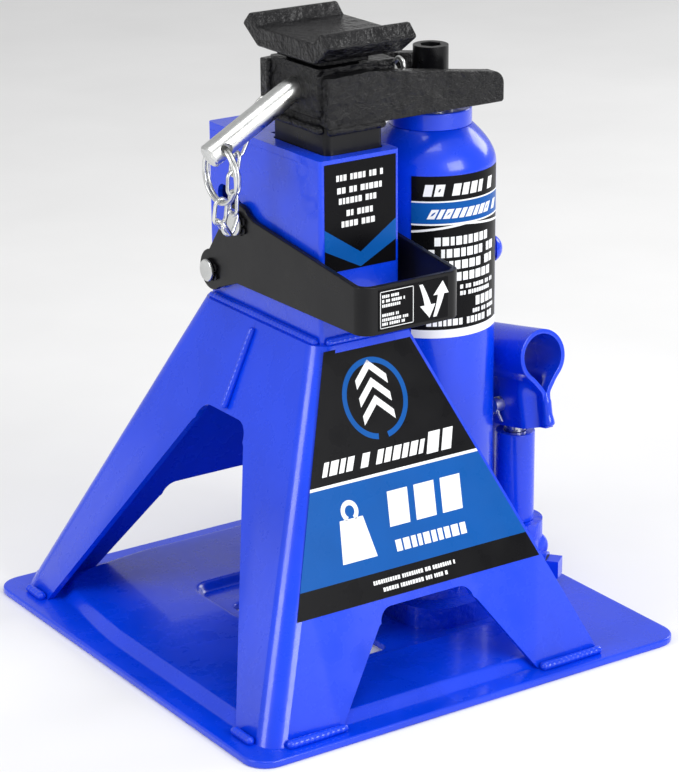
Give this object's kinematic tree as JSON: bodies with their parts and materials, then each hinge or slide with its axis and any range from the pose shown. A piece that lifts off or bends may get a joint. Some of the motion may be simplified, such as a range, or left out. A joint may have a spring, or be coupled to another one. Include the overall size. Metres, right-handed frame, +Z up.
{
  "type": "bottle jack support stand",
  "caption": "Welded support stand with a built-in bottle jack: the ram lifts a ratchet post and V saddle, and a swinging bail and a cross pin lock it.",
  "frame": {"origin": "centre of the base plate's underside", "axes": "+Z up; +X along the front panel towards the jack; +Y away from the front panel"},
  "size_m": [0.268, 0.274, 0.3346],
  "materials": {
    "blue_paint": "gloss blue enamel",
    "black_paint": "gloss black enamel",
    "zinc": "zinc plated",
    "steel": "ground steel",
    "rubber": "oil seal rubber",
    "label": "printed vinyl"
  },
  "bodies": {
    "stand": {"base_plate": "blue_paint", "stand_front_sheet": "blue_paint", "stand_rear_sheet": "blue_paint", "stand_welds": "blue_paint", "tower_tube": "blue_paint", "tower_cap": "blue_paint", "tower_welds": "blue_paint", "stand_label": "label", "tower_label": "label", "bail_pivot_shaft": "zinc", "pivot_circlips": "steel", "pivot_spacer": "zinc", "jack_base": "blue_paint", "base_screws": "zinc", "reservoir_tube": "blue_paint", "jack_label": "label", "top_nut": "blue_paint", "wiper_ring": "rubber", "pressure_cylinder": "steel", "filler_plug": "blue_paint", "pump_cylinder": "blue_paint", "check_balls": "steel", "valve_springs": "steel", "valve_plugs": "blue_paint", "link_base_pin": "zinc", "fulcrum_links": "blue_paint", "fulcrum_pin": "zinc", "fulcrum_cotter": "zinc"},
    "lift": {"post_tube": "black_paint", "ratchet_rack": "black_paint", "arm_front_plate": "black_paint", "arm_rear_plate": "black_paint", "ram_pad": "black_paint", "head_base": "black_paint", "head_box": "black_paint", "head_welds": "black_paint", "cap_screw": "black_paint", "lock_washer": "steel", "ram": "steel", "piston_seal": "rubber"},
    "saddle_fork": {"saddle": "black_paint", "saddle_stem": "black_paint"},
    "pin": {"locking_pin": "zinc", "hairpin_clip": "zinc", "pin_ring": "zinc", "keeper_chain": "zinc"},
    "bail": {"lock_bail": "black_paint", "bail_label": "label", "lock_bar": "zinc", "bar_circlips": "steel"},
    "socket": {"handle_socket": "blue_paint"},
    "plunger": {"pump_plunger": "steel", "plunger_seal": "rubber", "plunger_pin": "zinc", "plunger_cotter": "zinc"},
    "valve": {"release_valve": "blue_paint", "valve_o_ring": "rubber"}
  },
  "joints": [
    {"name": "ram_lift", "type": "slide", "parent": "stand", "child": "lift", "axis": [0, 0, 1], "range_m": [0, 0.17]},
    {"name": "saddle_extension", "type": "slide", "parent": "lift", "child": "saddle_fork", "axis": [0, 0, 1], "range_m": [0, 0.076]},
    {"name": "locking_pin_turn", "type": "hinge", "parent": "lift", "child": "pin", "pos_m": [-0.03, -0.0165, 0.3005], "axis": [1, 0, 0], "range_deg": [-28, 28]},
    {"name": "lock_bail", "type": "hinge", "parent": "stand", "child": "bail", "pos_m": [-0.013, 0.0455, 0.1935], "axis": [-1, 0, 0], "range_deg": [0, 28]},
    {"name": "handle_socket_tilt", "type": "hinge", "parent": "stand", "child": "socket", "pos_m": [0.105, -0.00139, 0.10648], "axis": [-1, 0, 0], "range_deg": [-8, 20]},
    {"name": "plunger_stroke", "type": "slide", "parent": "stand", "child": "plunger", "axis": [0, 0, 1], "range_m": [-0.0045, 0.0105]},
    {"name": "release_valve_turn", "type": "hinge", "parent": "stand", "child": "valve", "pos_m": [0.105, -0.027, 0.015], "axis": [0.6157, -0.788, 0], "range_deg": [0, 360]}
  ],
  "couplings": [
    {"joint": "plunger_stroke", "follows": "handle_socket_tilt", "m_per_rad": 0.028}
  ]
}
